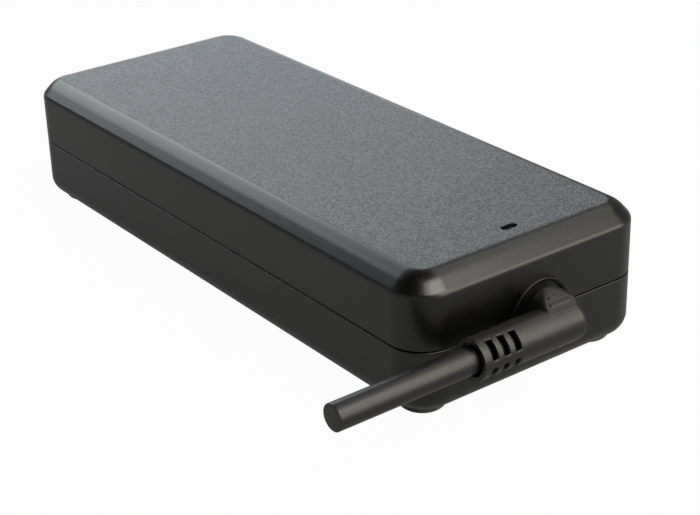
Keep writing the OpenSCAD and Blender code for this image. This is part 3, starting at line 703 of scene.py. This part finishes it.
def exit_distance(x, y, z):
    """Distance in millimetres from the skin of the exit; negative in the plastic."""
    from_axis = np.hypot(y, z - AXIS_Z)
    from_sleeve = np.hypot(x - SLEEVE_X, z - AXIS_Z)
    back_edge, mouth_edge, halfway = 1.3, 0.12, -8
    head_fillet, neck_fillet, bore_edge, window_edge = 0.12, 0.4, 0.25, 0.3
    sleeve = rounded_box_distance(
        from_sleeve - SLEEVE_R,
        np.maximum(y - SLEEVE_END_Y, MOUTH_Y - y),
        np.where(y > halfway, back_edge, mouth_edge),
    )
    body = with_bars(joined(head_distance(x, y, z), sleeve, head_fillet), x, y, z)
    neck = rounded_box_distance(from_axis - NECK_R, np.maximum(NECK_X0 - x, x - NECK_X1), 0.2)
    groove = rounded_box_distance(GROOVE_R - from_axis, np.abs(x - GROOVE_X) - GROOVE_HALF, 0.1)
    body = joined(body, less(neck, groove, 0.1), neck_fillet)
    body = less(body, passages_distance(x, y, z), bore_edge)
    angle = np.arctan2(np.abs(z - AXIS_Z), np.abs(x - SLEEVE_X))
    off_middle = np.abs(angle - WINDOW_MID) - WINDOW_SPAN / 2
    for row in range(WINDOW_ROWS):
        middle = MOUTH_Y + WINDOW_FIRST + WINDOW_W / 2 + WINDOW_PITCH * row
        window = rounded_box_distance(
            np.abs(y - middle) - WINDOW_W / 2, from_sleeve * off_middle, 0.25,
        )
        body = less(body, window, window_edge)
    return body


def skin_of(distance, low, high, step):
    """Points, faces and normals of the surface where a distance is zero, in millimetres."""
    sides = [np.arange(a, b + step, step) for a, b in zip(low, high)]
    field = distance(*np.meshgrid(*sides, indexing="ij"))
    inside = field < 0
    cells = tuple(n - 1 for n in field.shape)
    total = np.zeros(cells + (3,))
    count = np.zeros(cells)
    corners = [(a, b) for a in (0, 1) for b in (0, 1)]
    for axis in range(3):
        others = [k for k in range(3) if k != axis]
        for pair in corners:
            start, end = [None] * 3, [None] * 3
            for k, shift in zip(others, pair):
                start[k] = end[k] = slice(shift, shift + cells[k])
            start[axis], end[axis] = slice(0, cells[axis]), slice(1, cells[axis] + 1)
            a, b = field[tuple(start)], field[tuple(end)]
            crosses = (a < 0) != (b < 0)
            part = np.where(crosses, a / np.where(crosses, a - b, 1), 0)
            total[..., axis] += part
            for k, shift in zip(others, pair):
                total[..., k] += shift * crosses
            count += crosses
    used = count > 0
    number = np.full(cells, -1)
    number[used] = np.arange(used.sum())
    points = np.argwhere(used) + total[used] / count[used][:, None]
    points = np.array(low) + step * points
    faces = []
    for axis in range(3):
        b, c = (axis + 1) % 3, (axis + 2) % 3
        inner = [slice(1, -1)] * 3
        inner[axis] = slice(0, -1)
        after = list(inner)
        after[axis] = slice(1, None)
        here, there = inside[tuple(inner)], inside[tuple(after)]
        where = np.argwhere(here != there)
        where[:, b] += 1
        where[:, c] += 1
        flip = here[here != there]
        ring = []
        for db, dc in ((0, 0), (-1, 0), (-1, -1), (0, -1)):
            at = where.copy()
            at[:, b] += db
            at[:, c] += dc
            ring.append(number[tuple(at.T)])
        quads = np.stack(ring, axis=1)
        quads[~flip] = quads[~flip][:, ::-1]
        faces.append(quads)
    faces = np.concatenate(faces)

    def slope(at, reach):
        steps = np.eye(3) * reach
        return np.stack([
            (distance(*(at + s).T) - distance(*(at - s).T)) / (2 * reach) for s in steps
        ], axis=1)

    # Each round moves the points along the slope on to the surface, a part of a step at most
    rounds, near, wide, least_slope, most = 4, 0.02, 0.04, 0.25, 0.3 * step
    for _ in range(rounds):
        lean = slope(points, near)
        size = np.maximum((lean ** 2).sum(axis=1), least_slope)
        shift = np.clip(distance(*points.T) / size, -most, most)
        points = points - shift[:, None] * lean
    normals = slope(points, wide)
    normals /= np.maximum(np.linalg.norm(normals, axis=1), 1e-9)[:, None]
    return points, faces.tolist(), normals


def make_exit():
    """Right-angle exit: a turning neck, a flatted head and a windowed sleeve for the cord."""
    low, high, step = (66.6, -22.7, 10.1), (86.2, 6.0, 23.1), 0.17
    points, faces, normals = skin_of(exit_distance, low, high, step)
    return mesh_piece(
        "cord_exit_moulding", points, faces, EXIT_ELASTOMER,
        "exit", "boot_elastomer", ["cord_exit"], normals=normals,
    )


cord = make_cord()
cord_exit = make_exit()


# ---------- case ----------

def case_line(inset, z, steps=16):
    """One level line round the case, its sides moved inwards by inset from the upright walls."""
    r = CORNER_R - inset
    x, y = END_X - CORNER_R, SIDE_Y - CORNER_R
    line = []
    for cx, cy, start in ((x, y, 0), (-x, y, 90), (-x, -y, 180), (x, -y, 270)):
        line += arc(cx, cy, r, start, start + 90, steps)
    return [(px, py, z) for px, py in line]


def roof_profile(inset):
    """(distance in from the wall, height) along the roof's edge, from the side to the roof."""
    slope = math.atan2(BEVEL_IN, BEVEL_DOWN)
    turn = (math.pi / 2 - slope) / 2
    r_roof = CORNER_R - BEVEL_IN - inset * math.tan(turn)
    z_side = TOP_Z - BEVEL_DOWN - inset * math.tan(slope / 2)
    blend = BEVEL_TOP_R * (1 - inset / (2 * WALL))
    low = BEVEL_LOW_R * (1 - inset / (2 * WALL))
    line = arc(
        CORNER_R - inset - low, z_side - low * math.tan(slope / 2), low, 0, math.degrees(slope), 8,
    )
    line += arc(
        r_roof - blend * math.tan(turn), TOP_Z - inset - blend, blend, math.degrees(slope), 90, 14,
    )
    return [(CORNER_R - r, z) for r, z in line]


def floor_profile(inset):
    """(distance in from the wall, height) along the lower edge, from the underside upwards."""
    edge = BASE_EDGE_R - inset
    line = arc(CORNER_R - inset - edge, BASE_Z + inset + edge, edge, -90, 0, 14)
    return [(CORNER_R - r, z) for r, z in line]


def parting_edge(z, side):
    """Rounded outer edge of a half at the parting line; side is 1 where the half lies above z."""
    e = PARTING_ROUND
    line = arc(CORNER_R - e, z + side * e, e, 0, -90 * side, 4)
    return [(CORNER_R - r, height) for r, height in line]


def slot_line(grow, z):
    """Outline of the light's slot, across the case, moved outwards by grow."""
    r, reach = SLOT_W / 2 + grow, (SLOT_L - SLOT_W) / 2
    line = arc(LIGHT_X, LIGHT_Y + reach, r, 0, 180, 16)
    line += arc(LIGHT_X, LIGHT_Y - reach, r, 180, 360, 16)
    return [(x, y, z) for x, y in line]


def inlet_line(grow, x):
    """Outline of the inlet's body, moved outwards by grow, at a place along the case."""
    r = 1 + grow
    y, z = INLET_W / 2 + grow - r, INLET_H / 2 + grow - r
    line = []
    for cy, cz, start in ((y, z, 0), (-y, z, 90), (-y, -z, 180), (y, -z, 270)):
        line += arc(cy, PARTING_Z + cz, r, start, start + 90, 6)
    return [(x, py, pz) for py, pz in line]


def side_openings(half):
    """Holes in the end walls that both halves share, for the exit and for the inlet."""
    rim = 0.25
    exit_hole = rod(BUSH_R + FIT, END_X - WALL - OVER, END_X + OVER, 72)
    shaped(half, "DIFFERENCE", moved(exit_hole, ALONG_SWIVEL))
    shaped(half, "DIFFERENCE", lofted([
        inlet_line(FIT + rim + OVER, -END_X - OVER),
        inlet_line(FIT + rim, -END_X),
        inlet_line(FIT + 0.3 * rim, -END_X + 0.3 * rim),
        inlet_line(FIT, -END_X + rim),
        inlet_line(FIT, -END_X + WALL + OVER),
    ]))


def rails(z0, z1, inlet_too):
    """Upright rails that hold the bushing's plate and, in the lower half, the inlet."""
    parts = []
    for side in (-1, 1):
        y = side * (PLATE_HALF + FIT + RAIL_T / 2)
        parts.append(block(PLATE_X0, END_X - WALL + BITE, y - RAIL_T / 2, y + RAIL_T / 2, z0, z1))
        if inlet_too:
            x = -END_X + WALL + INLET_FLANGE + FIT
            y = side * (INLET_W / 2 + INLET_RAIL_GAP + RAIL_T / 2)
            parts.append(block(x, x + RAIL_T, y - RAIL_T / 2, y + RAIL_T / 2, z0, z1))
    return merged(*parts)


def make_upper_half():
    """Roof and upper walls, with the lip that sits inside the lower half."""
    z = PARTING_Z + PARTING_GAP / 2
    lip_out, lip_foot, lip_lead = LIP_SKIN + FIT, PARTING_Z - LIP_H, 0.2
    line = list(reversed(roof_profile(0)))
    line += parting_edge(z, 1)
    line += [(lip_out, z), (lip_out, lip_foot + lip_lead), (lip_out + lip_lead, lip_foot)]
    line += [(WALL, lip_foot)]
    line += roof_profile(WALL)
    points, faces = lofted([case_line(inset, height) for inset, height in line])
    half = mesh_piece(
        "upper_half", points, faces, CASE_PLASTIC, "case", "case_plastic", ["top_cover"],
    )
    shaped(half, "UNION", rails(PARTING_Z + PARTING_GAP, TOP_Z - WALL + BITE, False))
    side_openings(half)
    shaped(half, "DIFFERENCE", lofted([
        slot_line(0, TOP_Z - WALL - OVER),
        slot_line(0, TOP_Z - 0.15),
        slot_line(0.05, TOP_Z - 0.05),
        slot_line(0.15, TOP_Z),
        slot_line(0.5, TOP_Z + 0.35),
    ]))


def make_lower_half():
    """Underside and lower walls, with posts for the board, rails and the feet's pockets."""
    z = PARTING_Z - PARTING_GAP / 2
    line = floor_profile(0)
    line += parting_edge(z, -1)
    line += [(LIP_SKIN, z), (LIP_SKIN, PARTING_Z - LIP_H), (WALL, PARTING_Z - LIP_H)]
    line += list(reversed(floor_profile(WALL)))
    points, faces = lofted([case_line(inset, height) for inset, height in line])
    half = mesh_piece(
        "lower_half", points, faces, BASE_PLASTIC, "case", "base_plastic", ["bottom_cover"],
    )
    floor = BASE_Z + WALL
    post_top = floor + POST_H
    board_top = post_top + BOARD_T
    pin_lead, pin_proud, pin_tip_r = 0.3, 0.5, 1.0
    post = turned([
        (NEAR_AXIS, floor - BITE), (POST_R, floor - BITE), (POST_R, post_top),
        (POST_PIN_R, post_top), (POST_PIN_R, board_top + pin_lead),
        (pin_tip_r, board_top + pin_proud), (NEAR_AXIS, board_top + pin_proud),
    ], 40)
    for x in POST_XS:
        for y in (-POST_Y, POST_Y):
            shaped(half, "UNION", moved(post, Matrix.Translation((x, y, 0))))
    shaped(half, "UNION", rails(floor - BITE, PARTING_Z - LIP_H, True))
    side_openings(half)
    pocket = rod(FOOT_R + FIT, BASE_Z - OVER, BASE_Z + FOOT_POCKET, 64)
    for x, y in FOOT_PLACES:
        shaped(half, "DIFFERENCE", moved(pocket, Matrix.Translation((x, y, 0))))


def make_feet():
    """Four round rubber pads glued into pockets, each with a fully rounded lower rim."""
    profile = [(NEAR_AXIS, BASE_Z + FOOT_POCKET), (FOOT_R, BASE_Z + FOOT_POCKET)]
    profile += arc(FOOT_R - FOOT_RIM, FOOT_RIM, FOOT_RIM, 0, -90, 10)
    profile += [(NEAR_AXIS, 0)]
    pad = turned(profile, 64)
    points, faces = merged(*[
        moved(pad, Matrix.Translation((x, y, 0))) for x, y in FOOT_PLACES
    ])
    mesh_piece("feet", points, faces, FOOT_RUBBER, "case", "foot_rubber", ["rubber_feet"])


def make_lens():
    """Smoked light pipe that fills the slot, with a rim under the roof."""
    top, roof = TOP_Z - LENS_SINK, TOP_Z - WALL
    points, faces = lofted([
        slot_line(LENS_RIM, roof - LENS_FLANGE),
        slot_line(LENS_RIM, roof),
        slot_line(-FIT, roof),
        slot_line(-FIT, top - 0.15),
        slot_line(-FIT - 0.05, top - 0.04),
        slot_line(-FIT - 0.15, top),
    ])
    mesh_piece("light_lens", points, faces, LENS_SMOKE, "case", "lens", ["led_lens"])


def make_bushing():
    """Ring on the end wall with a recess and a sloping face, its square plate and the stop."""
    edge, back, face = 0.2, 71.5, END_X + RING_PROUD
    recess_r, recess_floor = 6.9, END_X + 0.4
    profile = [
        (NECK_R + FIT, back), (NECK_R + FIT, recess_floor),
        (recess_r, recess_floor), (recess_r, face - 0.4),
        (6.95, face - 0.3), (RING_R - edge - 0.08, face - 0.02),
    ]
    profile += arc(RING_R - edge, face - edge, edge, 90, 0, 6)
    profile += [(RING_R, END_X), (BUSH_R, END_X), (BUSH_R, PLATE_X1 - BITE), (BUSH_R, back)]
    points, faces = moved(turned(profile, 96), ALONG_SWIVEL)
    bushing = mesh_piece(
        "bushing", points, faces, BUSHING_PLASTIC, "case", "bushing_plastic", ["exit_bushing"],
    )
    low, high = AXIS_Z - PLATE_HALF, AXIS_Z + PLATE_HALF
    shaped(bushing, "UNION", block(PLATE_X0, PLATE_X1, -PLATE_HALF, PLATE_HALF, low, high))
    stop_in, stop_out, stop_start, stop_end, stop_back = 8.5, 10, 11, 169, 68.9
    line = arc(0, 0, stop_in, stop_start, stop_end, 24)
    line += arc(0, 0, stop_out, stop_end, stop_start, 24)
    stop = lofted([[(h, b, AXIS_Z - a) for a, b in line] for h in (stop_back, PLATE_X0 + BITE)])
    shaped(bushing, "UNION", stop)
    shaped(bushing, "DIFFERENCE", moved(rod(NECK_R + FIT, 66, 80, 96), ALONG_SWIVEL))


make_upper_half()
make_lower_half()
make_feet()
make_lens()
make_bushing()

# Moulded and stamped parts lose their knife edges
for node, size in (("ac_inlet", 0.25), ("line_pin", 0.3), ("neutral_pin", 0.3), ("earth_pin", 0.3)):
    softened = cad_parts[node].modifiers.new("soft_edges", "BEVEL")
    softened.width = size * MM
    softened.segments = 3
    softened.limit_method = "ANGLE"
    softened.angle_limit = math.radians(50)
    softened.harden_normals = True


# ---------- floor and light ----------

FLOOR_TONE = 0.25
# How much of the floor the camera sees as plain white, and how much of that shows in gloss
FLOOR_WHITE = 0.97
WHITE_IN_GLOSS = 0.2
ROOM_LIGHT = 0.02
# The place that every softbox faces from a metre away, in metres
LIT_PLACE = Vector((0.02, 0, 0.016))


def shows_white(tree, in_gloss):
    """1 for rays from the camera or through glass, and in_gloss for those off a glossy surface."""
    path = tree.nodes.new("ShaderNodeLightPath")
    straight = group_node(tree, "ShaderNodeMath", operation="MAXIMUM")
    tree.links.new(path.outputs["Is Camera Ray"], straight.inputs[0])
    tree.links.new(path.outputs["Is Transmission Ray"], straight.inputs[1])
    gloss = group_node(tree, "ShaderNodeMath", operation="MULTIPLY")
    gloss.inputs[1].default_value = in_gloss
    tree.links.new(path.outputs["Is Glossy Ray"], gloss.inputs[0])
    any_of = group_node(tree, "ShaderNodeMath", operation="MAXIMUM")
    tree.links.new(straight.outputs[0], any_of.inputs[0])
    tree.links.new(gloss.outputs[0], any_of.inputs[1])
    return any_of.outputs[0]


def make_floor():
    """Wide floor that sweeps up into a wall: grey to the lamps, nearly white to the camera."""
    inner, flat, sweep_at, sweep, sides = 300, 1500, 2200, 800, 48
    profile = [(inner, 0), (flat, 0)] + arc(sweep_at, sweep, sweep, -90, 0, 12)
    profile += [(sweep_at + sweep, 2 * sweep)]
    last = 360 - 360 / sides
    points, faces = lofted([
        [(x, y, h) for x, y in arc(0, 0, r, 0, last, sides - 1)] for r, h in profile
    ])
    # The last face caps the top, and the room has no ceiling
    faces.pop()
    mesh = bpy.data.meshes.new("floor")
    mesh.from_pydata([tuple(MM * c for c in p) for p in points], [], faces)
    floor = bpy.data.objects.new("floor", mesh)
    bpy.context.scene.collection.objects.link(floor)
    finish = bpy.data.materials.new("pale_floor")
    finish.use_nodes = True
    tree = finish.node_tree
    tree.nodes.clear()
    matt = tree.nodes.new("ShaderNodeBsdfDiffuse")
    matt.inputs["Color"].default_value = (*grey(FLOOR_TONE), 1)
    white = tree.nodes.new("ShaderNodeEmission")
    share = group_node(tree, "ShaderNodeMath", operation="MULTIPLY")
    share.inputs[1].default_value = FLOOR_WHITE
    tree.links.new(shows_white(tree, WHITE_IN_GLOSS), share.inputs[0])
    mix = tree.nodes.new("ShaderNodeMixShader")
    tree.links.new(share.outputs[0], mix.inputs["Fac"])
    tree.links.new(matt.outputs[0], mix.inputs[1])
    tree.links.new(white.outputs[0], mix.inputs[2])
    tree.links.new(mix.outputs[0], tree.nodes.new("ShaderNodeOutputMaterial").inputs["Surface"])
    mesh.materials.append(finish)


def light_the_room():
    """Even, low light from the room."""
    world = bpy.data.worlds.new("room")
    world.use_nodes = True
    bpy.context.scene.world = world
    world.node_tree.nodes["Background"].inputs["Color"].default_value = (1, 1, 1, 1)
    world.node_tree.nodes["Background"].inputs["Strength"].default_value = ROOM_LIGHT


def add_softbox(name, bearing, rise, width, height, watts, colour):
    """Softbox a metre away that faces the case, its bearing in degrees from the exit's end."""
    lamp = bpy.data.lights.new(name, "AREA")
    lamp.shape = "RECTANGLE"
    lamp.size, lamp.size_y = width, height
    lamp.energy = watts
    lamp.color = colour
    holder = bpy.data.objects.new(name, lamp)
    turn, tilt = math.radians(bearing), math.radians(rise)
    towards = Vector((
        math.cos(turn) * math.cos(tilt), math.sin(turn) * math.cos(tilt), math.sin(tilt),
    ))
    holder.location = LIT_PLACE + towards
    holder.rotation_euler = towards.to_track_quat("Z", "Y").to_euler()
    holder.visible_camera = False
    bpy.context.scene.collection.objects.link(holder)


make_floor()
light_the_room()
add_softbox("key_softbox", 12, 50, 0.80, 0.48, 7.5, (1.0, 0.965, 0.87))
add_softbox("low_softbox", 30, 18, 0.95, 0.50, 4.2, (1.0, 0.96, 0.86))
add_softbox("side_softbox", 84, 53, 0.88, 0.36, 1.35, (1.0, 0.99, 0.93))
add_softbox("back_softbox", 182, 31, 0.88, 0.48, 4.0, (0.93, 0.97, 1.0))
add_softbox("far_softbox", 147, 19, 0.52, 0.58, 2.0, (0.82, 0.91, 1.0))
